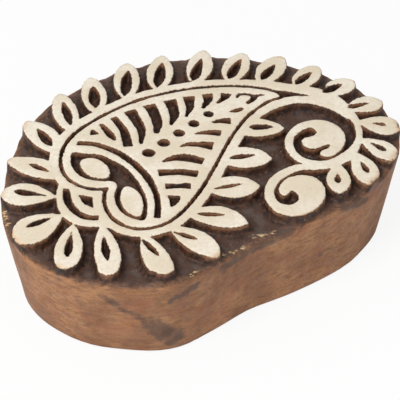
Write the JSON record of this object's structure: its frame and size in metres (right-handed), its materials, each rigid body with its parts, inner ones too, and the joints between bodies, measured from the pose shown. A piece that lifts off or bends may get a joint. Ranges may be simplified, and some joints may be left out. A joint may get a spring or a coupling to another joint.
{
  "type": "wooden printing block",
  "caption": "Hand-carved wooden stamp: bean-shaped block with tapered sides and a flat back, and a raised paisley with leaf petals and two scrolls under a thin white coat.",
  "frame": {"origin": "centre of the block's bounding box, on its flat back", "axes": "+Z out of the carved printing face, +X along the block's length to the right, +Y to the top of the pattern"},
  "size_m": [0.1149, 0.1066, 0.0313],
  "materials": {
    "carved_wood": "bare oiled hardwood sides with fine wavy grain, stained dark brown in the carved ground and on the walls of the relief",
    "ground_coat": "dry, chalky cream-white coat, worn at its edges"
  },
  "bodies": {
    "root": {"carved_block": "carved_wood", "border_coat": "ground_coat", "paisley_coat": "ground_coat", "upper_seed_coat": "ground_coat", "lower_seed_coat": "ground_coat"}
  },
  "joints": []
}
